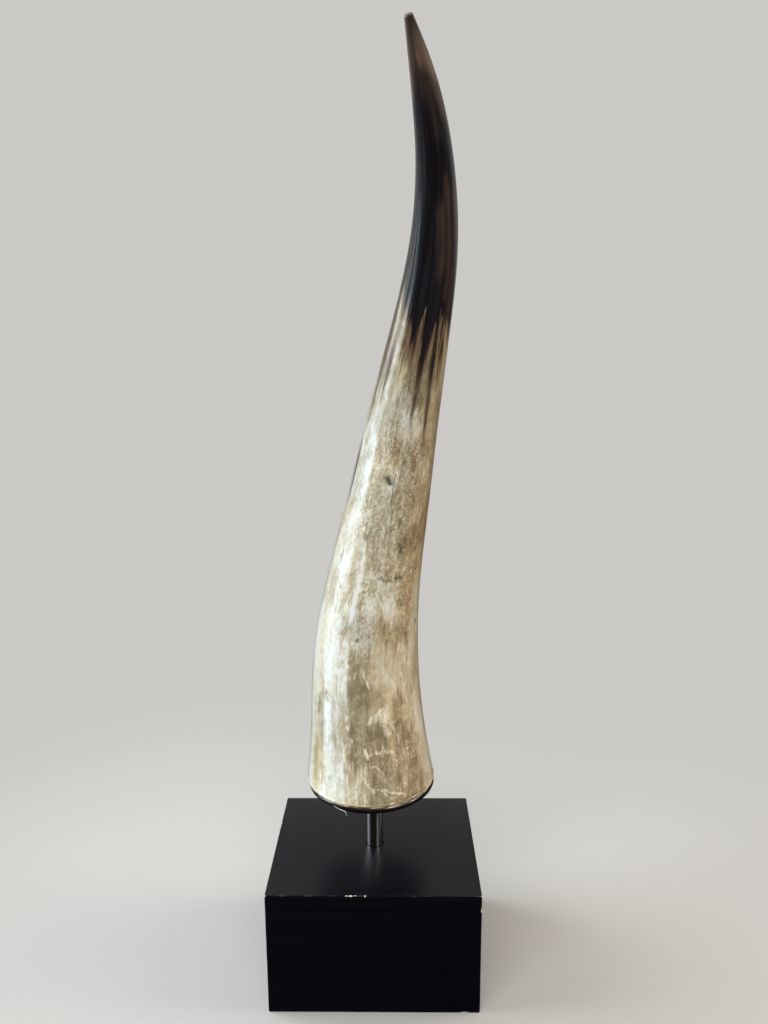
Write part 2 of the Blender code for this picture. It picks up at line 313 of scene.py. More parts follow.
# Bead of glue round the horn's cut, in millimetres: its half thickness, how much that swells, how
# far the bead wanders, and how far it lies inside the horn's side and under the cut
GLUE_THICK = 0.62
GLUE_SWELL = 0.1
GLUE_SHIFT = 0.08
GLUE_INSET = 0.95
GLUE_DROP = 0.25
GLUE_FLATNESS = 0.9
# Thread of glue on the rim's lower edge: angle round the disc, distance out from the rim, height
# above the disc's underside in millimetres, and its own half thickness
GLUE_THREAD = (
    (-33, 0, 2.2, 0.1), (-31, 0.08, 1.7, 0.2), (-28, 0.04, 1.2, 0.14), (-25, -0.1, 0.8, 0.22),
    (-22, -0.2, 0.4, 0.26), (-21, -0.05, -0.5, 0.2), (-20.4, 0.1, -1.4, 0.14),
    (-19.9, 0.05, -2.3, 0.08),
)
THREAD_THINNEST = 0.05

BLOCK_LOW, BLOCK_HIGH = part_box("base_block")
DISC_LOW, DISC_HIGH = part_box("foot_disc")
ROD_LOW, ROD_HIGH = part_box("support_rod")
ROD_RADIUS = (ROD_HIGH.x - ROD_LOW.x) / 2
DISC_RADIUS = (DISC_HIGH.x - DISC_LOW.x) / 2
DISC_CENTRE = ((DISC_LOW.x + DISC_HIGH.x) / 2, (DISC_LOW.y + DISC_HIGH.y) / 2)
HORN_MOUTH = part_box("horn")[0].z


class Nodes:
    """A node tree and short calls that add nodes to it."""

    def __init__(self, tree):
        self.tree = tree

    def put(self, socket, value):
        if isinstance(value, bpy.types.NodeSocket):
            self.tree.links.new(value, socket)
        elif isinstance(value, tuple) and socket.type == "RGBA":
            socket.default_value = (*value, 1.0)
        else:
            socket.default_value = value

    def add(self, kind, inputs, **settings):
        node = self.tree.nodes.new(kind)
        for key, value in settings.items():
            setattr(node, key, value)
        for key, value in inputs.items():
            self.put(node.inputs[key], value)
        return node

    def attribute(self, name, output="Fac"):
        return self.add("ShaderNodeAttribute", {}, attribute_name=name).outputs[output]

    def place(self):
        """The object's own coordinates, in metres."""
        return self.add("ShaderNodeTexCoord", {}).outputs["Object"]

    def vector_math(self, operation, a, b):
        return self.add("ShaderNodeVectorMath", {0: a, 1: b}, operation=operation).outputs[0]

    def noise(self, vector, scale, detail=3, roughness=0.5, distortion=0, output="Fac"):
        """Noise with so many cells to the metre along each axis."""
        inputs = {
            "Vector": self.vector_math("MULTIPLY", vector, scale),
            "Scale": 1.0,
            "Detail": detail,
            "Roughness": roughness,
            "Distortion": distortion,
        }
        return self.add("ShaderNodeTexNoise", inputs).outputs[output]

    def warped(self, vector, scale, amount):
        """The vector moved about by up to half of amount, in metres along each axis."""
        color = self.noise(vector, scale, detail=1, output="Color")
        shift = self.vector_math("SUBTRACT", color, (0.5, 0.5, 0.5))
        return self.vector_math("ADD", vector, self.vector_math("MULTIPLY", shift, amount))

    def math(self, operation, a, b=0.0, c=0.0):
        return self.add("ShaderNodeMath", {0: a, 1: b, 2: c}, operation=operation).outputs[0]

    def times(self, value, *others):
        for other in others:
            value = self.math("MULTIPLY", value, other)
        return value

    def off(self, value, middle=0.5):
        """How far the value is from the middle."""
        return self.math("ABSOLUTE", self.math("SUBTRACT", value, middle))

    def ragged(self, value, *noises):
        """The value plus each noise's swing about its middle times its share."""
        for noise, share in noises:
            swing = self.math("SUBTRACT", noise, 0.5)
            value = self.math("MULTIPLY_ADD", swing, share, value)
        return value

    def ramp(self, value, *colors):
        """The colors in even steps as the value goes from 0 to 1."""
        node = self.add("ShaderNodeValToRGB", {0: value})
        stops = node.color_ramp.elements
        while len(stops) < len(colors):
            stops.new(0.5)
        for i, color in enumerate(colors):
            stops[i].position = i / (len(colors) - 1)
            stops[i].color = (*color, 1.0)
        return node.outputs["Color"]

    def step(self, value, low, high):
        """0 under low, 1 over high, smooth between."""
        inputs = {"Value": value, "From Min": low, "From Max": high}
        node = self.add("ShaderNodeMapRange", inputs, interpolation_type="SMOOTHSTEP")
        return node.outputs["Result"]

    def mix(self, share, a, b):
        node = self.add("ShaderNodeMix", {"Factor": share}, data_type="RGBA")
        self.put(node.inputs[6], a)
        self.put(node.inputs[7], b)
        return node.outputs[2]


class Shade(Nodes):
    """One material, with calls for its surface."""

    def __init__(self, name):
        self.material = bpy.data.materials.new(name)
        self.material.use_nodes = True
        super().__init__(self.material.node_tree)
        self.surface = self.tree.nodes["Principled BSDF"]

    def set(self, **values):
        """Sets the surface shader's inputs, such as base_color or coat_weight."""
        for key, value in values.items():
            words = key.replace("_", " ").title().replace("Ior", "IOR")
            self.put(self.surface.inputs[words], value)

    def bump(self, height, distance, strength=1.0):
        inputs = {"Height": height, "Distance": distance, "Strength": strength}
        self.set(normal=self.add("ShaderNodeBump", inputs).outputs["Normal"])


def add_object(name, data):
    item = bpy.data.objects.new(name, data)
    bpy.context.scene.collection.objects.link(item)
    return item


def add_piece(name, mesh, shade, slot, *nodes):
    """A piece of the object, riding on its one body and standing for CAD nodes."""
    item = add_object(name, mesh)
    if shade:
        mesh.materials.append(shade.material)
    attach(item, "root")
    if nodes:
        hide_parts(*nodes)


def grid_mesh(name, rows, start=None, end=None, joined=False):
    """A closed skin over rows of points, all of one length, each row a closed ring. start and end
    are the points that close the ends, or joined links the last row to the first."""
    rows = np.asarray(rows)
    count, sides = rows.shape[:2]
    index = np.arange(count * sides).reshape(count, sides)
    if joined:
        index = np.concatenate([index, index[:1]])
    around = np.roll(index, -1, axis=1)
    quads = np.stack([index[:-1], around[:-1], around[1:], index[1:]], -1)
    points, faces = rows.reshape(-1, 3).tolist(), quads.reshape(-1, 4).tolist()
    for point, ring, turn in ((start, 0, -1), (end, -1, 1)):
        if point is not None:
            points.append(tuple(point))
            for pair in zip(index[ring].tolist(), around[ring].tolist()):
                faces.append((len(points) - 1, *pair[::turn]))
    mesh = bpy.data.meshes.new(name)
    mesh.from_pydata(points, [], faces)
    mesh.shade_smooth()
    mesh.set_sharp_from_angle(angle=math.radians(40))
    return mesh


def round_angles(sides, start=-math.pi):
    return np.linspace(start, start + 2 * math.pi, sides, endpoint=False)


def circle(centre, radius, angles, height):
    """Points of a level circle; angle 0 faces the front, -Y, and 90 degrees +X."""
    x = centre[0] + radius * np.sin(angles)
    y = centre[1] - radius * np.cos(angles)
    return np.stack([x, y, np.full_like(x, height)], -1)


# Horn shape


def natural_spline(knots, values):
    """The smoothest cubic curve through the values: a function of an array of x that gives
    values and slopes."""
    step = np.diff(knots)
    rise = np.diff(values) / step
    count = len(knots)
    matrix = np.eye(count)
    right = np.zeros(count)
    for i in range(1, count - 1):
        matrix[i, i - 1 : i + 2] = step[i - 1], 2 * (step[i - 1] + step[i]), step[i]
        right[i] = 6 * (rise[i] - rise[i - 1])
    bend = np.linalg.solve(matrix, right)

    def curve(x):
        i = np.clip(np.searchsorted(knots, x) - 1, 0, count - 2)
        t = x - knots[i]
        start_slope = rise[i] - step[i] * (2 * bend[i] + bend[i + 1]) / 6
        twist = (bend[i + 1] - bend[i]) / step[i]
        value = values[i] + t * (start_slope + t * (bend[i] / 2 + t * twist / 6))
        return value, start_slope + t * (bend[i] + t * twist / 2)

    return curve


STATIONS = np.array(HORN_STATIONS) * MM
HORN_X, HORN_Y, HORN_RADIUS = (natural_spline(STATIONS[:, 0], STATIONS[:, i]) for i in (1, 2, 3))


def horn_rows():
    """Heights, insets and lifts of the horn's rows of points from the wide end to the tip."""
    edge = np.linspace(0, math.pi / 2, EDGE_ROWS, endpoint=False)
    first = HORN_MOUTH + HORN_MOUTH_EDGE
    share = np.linspace(0, 1, HORN_ROWS)
    # rows lie closer at the wide end, whose pattern is the finest
    body = first + (HORN_TIP_HEIGHT - first) * share * (MOUTH_SPACING + (1 - MOUTH_SPACING) * share)
    heights = np.pad(body, EDGE_ROWS, constant_values=(HORN_MOUTH, HORN_TIP_HEIGHT))
    inset, lift = np.zeros((2, heights.size))
    inset[:EDGE_ROWS] = HORN_MOUTH_EDGE * (1 - np.sin(edge))
    lift[:EDGE_ROWS] = HORN_MOUTH_EDGE * (1 - np.cos(edge))
    inset[-EDGE_ROWS:] = HORN_TIP_EDGE * (1 - np.sin(edge[::-1]))
    lift[-EDGE_ROWS:] = HORN_TIP_EDGE * np.cos(edge[::-1])
    return heights, inset, lift


def hand_waves(heights, angles, rng):
    """How far the polished skin lies under the true curve, 0 to 1, at each row and angle."""
    height, angle = np.meshgrid(heights, angles, indexing="ij")
    total = np.zeros_like(height)
    for _ in range(WAVE_COUNT):
        turns = rng.integers(0, MOST_WAVE_TURNS + 1)
        length = rng.uniform(*WAVE_LENGTHS)
        total += np.sin(turns * angle + 2 * math.pi * height / length + rng.uniform(0, 2 * math.pi))
    total -= total.min()
    return total / total.max()


def hollow(heights, angles, radius):
    """Depth of the shallow hollow at each row and angle."""
    angle, height, half_width, half_length, depth = HOLLOW
    across = (angles[None, :] - math.radians(angle)) * radius[:, None] / half_width / MM
    along = (heights[:, None] / MM - height) / half_length
    return depth * MM * np.exp(-(across**2) - along**2)


def horn_points(heights, inset, lift, angles):
    """Rows of points on the horn's skin, and the centre of each."""
    x, x_slope = HORN_X(heights)
    y, y_slope = HORN_Y(heights)
    blend = np.clip((heights - HORN_MOUTH) / LEVELLING_HEIGHT, 0, 1)
    turn = blend * blend * (3 - 2 * blend)
    facing = np.stack([x_slope * turn, y_slope * turn, np.ones_like(x)], -1)
    facing /= np.linalg.norm(facing, axis=1)[:, None]
    across = np.cross([0.0, 1.0, 0.0], facing)
    across /= np.linalg.norm(across, axis=1)[:, None]
    back = np.cross(facing, across)
    centre = np.stack([x, y, heights], -1) + facing * lift[:, None]
    radius = HORN_RADIUS(heights)[0] - inset
    waves = hand_waves(heights, angles, np.random.default_rng(SHAPE_SEED))
    radius = radius[:, None] - WAVE_DEPTH * waves - hollow(heights, angles, radius)
    sideways = np.sin(angles)[None, :, None] * across[:, None]
    backwards = np.cos(angles)[None, :, None] * back[:, None]
    return centre[:, None] + radius[:, :, None] * (sideways - backwards), centre


def make_horn():
    """The horn with the rod's socket in it."""
    even = round_angles(HORN_SIDES)
    # points lie closer in front, which has the known pattern
    angles = even - FRONT_CROWDING * np.sin(even)
    heights, inset, lift = horn_rows()
    skin, centres = horn_points(heights, inset, lift, angles)
    top = ROD_HIGH.z + GAP
    socket = [circle((0, 0), ROD_RADIUS + GAP, angles, height) for height in (top, HORN_MOUTH)]
    rows = np.concatenate([socket, skin])
    mesh = grid_mesh("polished_horn", rows, start=(0, 0, top), end=centres[-1])
    paint_horn(mesh, np.concatenate([[HORN_MOUTH, HORN_MOUTH], heights]), angles)
    add_piece("polished_horn", mesh, horn_shade(), "horn", "horn")


# Horn pattern


def smooth(value, low, high):
    t = np.clip((value - low) / (high - low), 0, 1)
    return t * t * (3 - 2 * t)


def wander(x, rng, low, high, count=7):
    """A crooked curve over x that swings about 0, made of waves of low to high turns."""
    total = np.zeros(x.shape)
    for turns in np.rint(np.geomspace(low, high, count)):
        total += np.sin(turns * x + rng.uniform(0, 2 * math.pi))
    return total / math.sqrt(count)


class Skin:
    """Every point of the horn's skin, a grid of heights by angles, with brushes that paint a value
    on each point. Lengths are millimetres and angles degrees."""

    def __init__(self, heights, angles):
        self.turn = angles[None, :]
        self.angle = np.degrees(angles)[None, :]
        self.height = heights[:, None] / MM
        self.radius = HORN_RADIUS(heights)[0][:, None] / MM
        self.rng = np.random.default_rng(FRAY_SEED)
        self.sway = STROKE_SWAY * wander(self.height / 60, self.rng, 8, 70)
        self.nod = STROKE_NOD * wander(self.turn, self.rng, 5, 45)

    def blank(self, value=0.0):
        return np.full((self.height.size, self.angle.size), value)

    def turn_to(self, angle):
        """Distance round the horn to an angle, the short way."""
        turn = (angle - self.angle + 180) % 360 - 180
        return np.radians(turn) * self.radius

    def fray(self, reach):
        """How far the fibres of an end stand out lengthwise, angle by angle."""
        return reach * wander(self.turn, self.rng, 12, 140)

    def panel(self, place, side, end):
        """1 inside the panel and 0 outside, softened over the given distances, with frayed ends and
        crooked sides."""
        first, last, low, high = place
        middle = (first + last) / 2
        half = np.radians((last - first) / 2) * self.radius
        crooked = 0.12 * side + 0.35
        left = half + self.turn_to(middle) + crooked * wander(self.height / 60, self.rng, 8, 90)
        right = half - self.turn_to(middle) + crooked * wander(self.height / 60, self.rng, 8, 90)
        below = self.height - low + self.fray(4.0)
        above = high - self.height + self.fray(4.0)
        across, along = np.minimum(left, right), np.minimum(below, above)
        return smooth(across, -side / 2, side / 2) * smooth(along, -end / 2, end / 2)

    def panels(self, panels, end=14.0):
        total = self.blank()
        for *place, value in panels:
            total = np.maximum(total, value * self.panel(place, side=5.0, end=end))
        return total

    def stroke(self, points, stretch=1.0, crooked=0.0):
        """Distance to a line through points, and how far along it the nearest place is, 0 to 1.
        Lengthwise distances count for less by the stretch."""
        best = self.blank(1e9)
        share = self.blank()
        last = len(points) - 1
        for i, (a, b) in enumerate(zip(points, points[1:])):
            ax, ay = self.turn_to(a[0]), (a[1] - self.height) / stretch
            bx, by = self.turn_to(b[0]) - ax, (b[1] - a[1]) / stretch
            ax, ay = ax + crooked * self.sway, ay + crooked * self.nod
            t = np.clip(-(ax * bx + ay * by) / (bx * bx + by * by + 1e-9), 0, 1)
            distance = np.hypot(ax + t * bx, ay + t * by)
            share = np.where(distance < best, (i + t) / last, share)
            best = np.minimum(best, distance)
        return best, share

    def strokes(self, strokes):
        """Each line's strength on it, half of that at its edge, and 0 at twice its half width."""
        total = self.blank()
        for half_width, strength, *points in strokes:
            distance, _ = self.stroke(points, crooked=1.0)
            total = np.maximum(total, strength * (1 - distance / (2 * half_width)))
        return total


def wild_panels(rng, count, heights, sizes):
    """Panels like the front's, for the sides and the back of the horn."""
    for _ in range(count):
        angle, low = rng.uniform(85, 275), rng.uniform(*heights)
        width, length = rng.uniform(8, 45), rng.uniform(*sizes)
        yield angle, angle + width, low, low + length, rng.uniform(0.15, 0.95)


def wild_strokes(rng, count, widths, reach):
    """Crooked lines like the front's, for the sides and the back of the horn."""
    for _ in range(count):
        angle, height = rng.uniform(75, 285), rng.uniform(130, 345)
        points = [(angle, height)]
        for _ in range(rng.integers(1, 6)):
            angle += rng.uniform(-reach, reach)
            height += rng.uniform(-reach, reach)
            points.append((angle, height))
        yield rng.uniform(*widths), rng.uniform(0.4, 0.9), *points


def paint_cream(skin, rng):
    # The cream layer is the horn's own tone, except for the two panels of painted highlight marked
    # in PANELS.
    cream = skin.blank(0.5)
    wild = [(*panel, rng.uniform(1.5, 7)) for panel in wild_panels(rng, 44, (115, 395), (14, 60))]
    for *place, value, side in (*wild, *PANELS):
        cream += (value - cream) * skin.panel(place, side=side, end=1.5 + 1.3 * side)
    return cream


def paint_dark(skin, rng):
    """Millimetres inside the dark upper horn, less than 0 in the light part."""
    edge = np.interp(skin.angle, *np.array(DARK_EDGE, float).T)
    dark = (skin.height - edge + skin.fray(3.0)) * 0.2
    wild = []
    for _ in range(16):
        angle, low = rng.uniform(70, 290), rng.uniform(345, 400)
        wild.append((rng.uniform(0.6, 2.4), (angle, 416), (angle + rng.uniform(-4, 4), low)))
    for half_width, *points in (*wild, *DARK_FINGERS):
        distance, share = skin.stroke(points, stretch=5.0)
        dark = np.maximum(dark, half_width * (1 - share**2.2) - distance)
    for half_width, *points in LIGHT_GAPS:
        distance, share = skin.stroke(points, stretch=3.0)
        dark = np.minimum(dark, distance - half_width * (1 - share))
    return dark


def paint_glow(skin, rng):
    glow = skin.blank()
    wild = []
    for _ in range(7):
        angle, height = rng.uniform(80, 280), rng.uniform(430, 500)
        points = ((angle, height), (angle + rng.uniform(-4, 4), height - rng.uniform(15, 40)))
        wild.append((rng.uniform(1, 2.4), rng.uniform(0.15, 0.35), *points))
    for angle in range(100, 290, 35):
        wild.append((2.4, rng.uniform(0.2, 0.6), (angle, 531), (angle + 4, 512)))
    for half_width, strength, *points in (*wild, *GLOWS):
        distance, _ = skin.stroke(points, stretch=2.5)
        glow = np.maximum(glow, strength * smooth(distance, 2.0 * half_width, 0.1 * half_width))
    return glow


def paint_horn(mesh, heights, angles):
    """Gives each point its place on the straight rod that the horn's grain is drawn on, and the
    strengths of the pattern's layers."""
    skin = Skin(heights, angles)
    rng = np.random.default_rng(PATTERN_SEED)
    layers = {
        "cream": paint_cream(skin, rng),
        "mottle": skin.panels((*wild_panels(rng, 14, (130, 350), (20, 70)), *MOTTLED)),
        "brown": skin.panels((*wild_panels(rng, 14, (130, 350), (20, 80)), *BROWN)),
        "yellow": skin.panels((*wild_panels(rng, 8, (130, 380), (10, 30)), *YELLOW), end=8.0),
        "ashen": skin.panels((*wild_panels(rng, 10, (130, 380), (20, 60)), *ASHEN)),
        "curls": skin.panels((*wild_panels(rng, 8, (127, 340), (20, 50)), *CURLED)),
        "marks": skin.strokes((*wild_strokes(rng, 40, (0.3, 0.7), 5), *CREAM_MARKS)),
        "lines": skin.strokes((*wild_strokes(rng, 26, (0.3, 0.9), 3), *DARK_MARKS)),
        "dark": paint_dark(skin, rng),
        "glow": paint_glow(skin, rng),
    }
    for name, values in layers.items():
        # the mesh's last two points close its ends
        values = np.append(values.ravel(), (values[0, 0], values[-1, 0]))
        attribute = mesh.attributes.new(name, "FLOAT", "POINT")
        attribute.data.foreach_set("value", values.astype(np.float32))
    straight = np.array([circle((0, 0), FIBRE_RADIUS, angles, height) for height in heights])
    ends = [(0, 0, HORN_MOUTH), (0, 0, HORN_TIP_HEIGHT)]
    straight = np.concatenate([straight.reshape(-1, 3), ends])
    attribute = mesh.attributes.new("straight", "FLOAT_VECTOR", "POINT")
    attribute.data.foreach_set("vector", straight.astype(np.float32).ravel())


def horn_noises(shade):
    """The noises that break up the horn's pattern, drawn along its slightly crooked grain."""
    place = shade.attribute("straight", "Vector")
    place = shade.warped(place, (60, 60, 25), (3.5 * MM, 3.5 * MM, 0))
    place = shade.warped(place, (260, 260, 120), (0.9 * MM, 0.9 * MM, 0))

    def noise(across, along, **settings):
        return shade.noise(place, (across, across, along), **settings)

    return SimpleNamespace(
        patches=noise(75, 28),
        streaks=noise(170, 13, roughness=0.55),
        fibres=noise(420, 34, detail=4, roughness=0.62),
        hairs=noise(1100, 110, detail=2, roughness=0.6),
        clouds=noise(190, 120, detail=4, roughness=0.62, distortion=1),
        dapples=noise(480, 330, roughness=0.65, distortion=0.7),
        specks=noise(900, 700, roughness=0.7, distortion=0.8),
        bands=noise(70, 210, roughness=0.6),
        films=noise(95, 48, detail=5, roughness=0.62, distortion=0.5),
        bends=noise(240, 190, detail=1, distortion=2.2),
        bent_hairs=noise(330, 240, detail=1, distortion=2.8),
    )


def clear_horn(shade, noises, mottle):
    """Colour of the light horn, clear olive to cream, with browner, greyer and yellower parts."""
    tone = shade.ragged(
        shade.attribute("cream"),
        (noises.fibres, 0.5),
        (noises.streaks, 0.3),
        (noises.patches, 0.7),
        (noises.clouds, 0.52),
        (noises.dapples, 0.35),
        (noises.hairs, 0.34),
        (shade.step(noises.films, 0.48, 0.54), 0.16),
    )
    grains = shade.ragged(-0.04, (noises.dapples, 1.5), (noises.specks, 2.1))
    tone = shade.math("MULTIPLY_ADD", grains, mottle, tone)
    color = shade.ramp(
        tone, (0.19, 0.15, 0.088), (0.32, 0.262, 0.16), (0.48, 0.412, 0.28), (0.66, 0.625, 0.5),
        (0.78, 0.8, 0.74)
    )
    tanned = shade.ramp(
        tone, (0.2, 0.125, 0.062), (0.34, 0.243, 0.132), (0.5, 0.39, 0.235), (0.66, 0.555, 0.39),
        (0.78, 0.71, 0.56)
    )
    color = shade.mix(shade.attribute("brown"), color, tanned)
    ashen = shade.times(shade.attribute("ashen"), shade.step(noises.films, 0.3, 0.52))
    color = shade.mix(ashen, color, shade.vector_math("MULTIPLY", color, (0.92, 1.0, 1.17)))
    yellow = shade.times(shade.attribute("yellow"), shade.step(noises.fibres, 0.3, 0.62), 0.5)
    return shade.mix(yellow, color, (0.7, 0.58, 0.27))


def marked_horn(shade, noises, mottle, color):
    """The colour with curls and threads of cream, pale scratches, and dark lines and smudges."""
    curl = shade.step(shade.off(noises.bends), 0.05, 0.012)
    curl = shade.times(curl, shade.step(noises.clouds, 0.44, 0.54), shade.attribute("curls"), 0.65)
    color = shade.mix(curl, color, (0.84, 0.78, 0.62))
    thread = shade.step(shade.off(noises.bent_hairs), 0.034, 0.008)
    thread = shade.times(thread, shade.step(noises.patches, 0.4, 0.52), mottle, 0.5)
    color = shade.mix(thread, color, (0.8, 0.74, 0.58))
    mark = shade.attribute("marks")
    mark = shade.ragged(mark, (noises.fibres, 1.1), (noises.specks, 0.9), (noises.hairs, 0.9))
    mark = shade.times(shade.step(mark, 0.2, 0.9), 0.75)
    color = shade.mix(mark, color, (0.9, 0.84, 0.67))
    line = shade.attribute("lines")
    line = shade.ragged(line, (noises.fibres, 0.6), (noises.specks, 1.2), (noises.hairs, 0.8))
    line = shade.times(shade.step(line, 0.14, 1.0), 0.94)
    return shade.mix(line, color, (0.055, 0.048, 0.03))


def dark_horn(shade, noises, color):
    """The colour with the dark upper horn over it, with a brown margin and brown glows."""
    depth = shade.attribute("dark")
    depth = shade.ragged(depth, (noises.fibres, 4.5), (noises.hairs, 2.6), (noises.streaks, 1.8))
    margin = shade.times(shade.step(depth, -2.0, 0.2), 0.85)
    color = shade.mix(margin, color, (0.13, 0.075, 0.04))
    streak = shade.step(noises.streaks, 0.4, 0.64)
    upper = shade.mix(streak, (0.0056, 0.005, 0.0074), (0.0145, 0.013, 0.0165))
    glow = shade.times(shade.attribute("glow"), shade.step(noises.fibres, 0.15, 0.72))
    upper = shade.mix(glow, upper, (0.27, 0.175, 0.115))
    return shade.mix(shade.step(depth, -0.5, 1.1), color, upper)


def horn_shade():
    """Polished horn: a clear coat over a duller surface."""
    shade = Shade("horn_keratin")
    noises = horn_noises(shade)
    mottle = shade.times(shade.attribute("mottle"), shade.step(noises.bands, 0.3, 0.66))
    color = clear_horn(shade, noises, mottle)
    color = marked_horn(shade, noises, mottle, color)
    color = dark_horn(shade, noises, color)
    roughness = shade.ragged(0.34, (noises.clouds, 0.12))
    shade.set(base_color=color, roughness=roughness, specular_ior_level=0.22)
    shade.set(coat_weight=0.75, coat_roughness=0.09)
    shade.bump(shade.ragged(0.0, (noises.fibres, 1.0), (noises.hairs, 0.6)), 0.02 * MM, 0.5)
    return shade


# Stand


def metal_shade(name, color, roughness):
    """Polished metal with faint smudges and fine rubbing marks round it."""
    shade = Shade(name)
    place = shade.place()
    smudge = shade.noise(place, (90, 90, 90), detail=4, roughness=0.6)
    rubbed = shade.noise(place, (60, 60, 2600), detail=2)
    tone = shade.step(shade.ragged(smudge, (rubbed, 0.3)), 0.3, 0.7)
    darker = tuple(0.82 * value for value in color)
    shade.set(base_color=shade.mix(tone, darker, color), metallic=1.0)
    shade.set(roughness=shade.ragged(roughness, (smudge, 0.1), (rubbed, 0.05)))
    shade.bump(rubbed, 0.004 * MM, 0.3)
    return shade


def rounded_rows(centre, radius, edge, low, high, angles, steps):
    """Rows of points up a round plate or rod whose rims are rounded over."""
    turn = np.linspace(0, math.pi / 2, steps)
    rows = []
    for a in turn:
        inset, lift = edge * (1 - math.sin(a)), edge * (1 - math.cos(a))
        rows.append(circle(centre, radius - inset, angles, low + lift))
    for a in turn:
        inset, drop = edge * (1 - math.cos(a)), edge * (1 - math.sin(a))
        rows.append(circle(centre, radius - inset, angles, high - drop))
    return rows


def make_disc():
    """The thin metal disc under the horn, with a half-round rim."""
    angles = round_angles(256)
    low, high = DISC_LOW.z, DISC_HIGH.z
    bore = [circle((0, 0), ROD_RADIUS + GAP, angles, height) for height in (high, low)]
    rim = rounded_rows(DISC_CENTRE, DISC_RADIUS, DISC_EDGE, low, high, angles, steps=9)
    mesh = grid_mesh("foot_plate", bore + rim, joined=True)
    shade = metal_shade("dark_polished_metal", (0.17, 0.16, 0.15), 0.28)
    add_piece("foot_plate", mesh, shade, "dark_metal", "foot_disc")


def make_rod():
    low, high = ROD_LOW.z, ROD_HIGH.z
    rows = rounded_rows((0, 0), ROD_RADIUS, ROD_EDGE, low, high, round_angles(128), steps=5)
    mesh = grid_mesh("steel_rod", rows, start=(0, 0, low), end=(0, 0, high))
    shade = metal_shade("polished_steel", (0.56, 0.54, 0.52), 0.12)
    add_piece("steel_rod", mesh, shade, "polished_steel", "support_rod")


def glue_shade(name, dark, light):
    shade = Shade(name)
    lumps = shade.noise(shade.place(), (260, 260, 500), detail=3)
    tone = shade.mix(shade.step(lumps, 0.42, 0.6), dark, light)
    shade.set(base_color=tone, roughness=shade.ragged(0.5, (lumps, 0.2)), specular_ior_level=0.3)
    return shade


def make_glue():
    """The uneven bead of glue between the horn and the disc."""
    shade = glue_shade("dried_glue", (0.13, 0.095, 0.055), (0.46, 0.38, 0.26))
    rng = np.random.default_rng(GLUE_SEED)
    angles = round_angles(480)
    swell = np.zeros_like(angles)
    for n in (3, 7, 11, 19, 31, 47):
        swell += np.sin(n * angles + rng.uniform(0, 6.3)) * rng.uniform(0.3, 1)
    thick = (GLUE_THICK + GLUE_SWELL * swell) * MM
    shift = sum(np.sin(n * angles + rng.uniform(0, 6.3)) for n in (2, 5, 9, 14)) * GLUE_SHIFT * MM
    ring_radius = HORN_RADIUS(HORN_MOUTH)[0] - GLUE_INSET * MM + shift
    centre = (HORN_X(HORN_MOUTH)[0], HORN_Y(HORN_MOUTH)[0])
    rows = []
    for a in round_angles(12, start=0):
        height = HORN_MOUTH - GLUE_DROP * MM + thick * math.sin(a) * GLUE_FLATNESS
        rows.append(circle(centre, ring_radius - thick * math.cos(a), angles, height))
    mesh = grid_mesh("glue_bead", rows, joined=True)
    add_piece("glue_bead", mesh, shade, "horn")


def make_glue_thread():
    """A thread of glue that has run along the rim and hangs off it."""
    shade = glue_shade("glue_thread", (0.46, 0.45, 0.43), (0.7, 0.69, 0.67))
    points = np.array(GLUE_THREAD)
    steps = np.linspace(0, len(points) - 1, 60)
    curves = [natural_spline(np.arange(len(points), dtype=float), points[:, i]) for i in range(4)]
    angle, out, lift, thick = (curve(steps)[0] for curve in curves)
    height = DISC_LOW.z + lift * MM
    path = circle(DISC_CENTRE, DISC_RADIUS + out * MM, np.radians(angle), height)
    along = np.gradient(path, axis=0)
    along /= np.linalg.norm(along, axis=1)[:, None]
    aside = np.cross(along, [0.0, 1.0, 0.0])
    aside /= np.linalg.norm(aside, axis=1)[:, None]
    third = np.cross(along, aside)
    turn = round_angles(12, start=0)
    across = np.cos(turn)[None, :, None] * aside[:, None]
    upwards = np.sin(turn)[None, :, None] * third[:, None]
    thick = np.maximum(thick, THREAD_THINNEST) * MM
    rows = path[:, None] + (across + upwards) * thick[:, None, None]
    mesh = grid_mesh("glue_thread", rows, start=path[0], end=path[-1])
    add_piece("glue_thread", mesh, shade, "horn")


def near_edges(shade, place):
    """1 along the block's edges and 0 away from them."""
    axes = shade.add("ShaderNodeSeparateXYZ", {0: place}).outputs
    near = []
    for axis, low, high in zip(axes, BLOCK_LOW, BLOCK_HIGH):
        gap = shade.math("SUBTRACT", (high - low) / 2, shade.off(axis, (low + high) / 2))
        near.append(shade.step(gap, 0.75 * MM, 0.15 * MM))
    pairs = [shade.times(near[i], near[j]) for i, j in ((0, 1), (0, 2), (1, 2))]
    return shade.math("ADD", shade.math("ADD", pairs[0], pairs[1]), pairs[2])


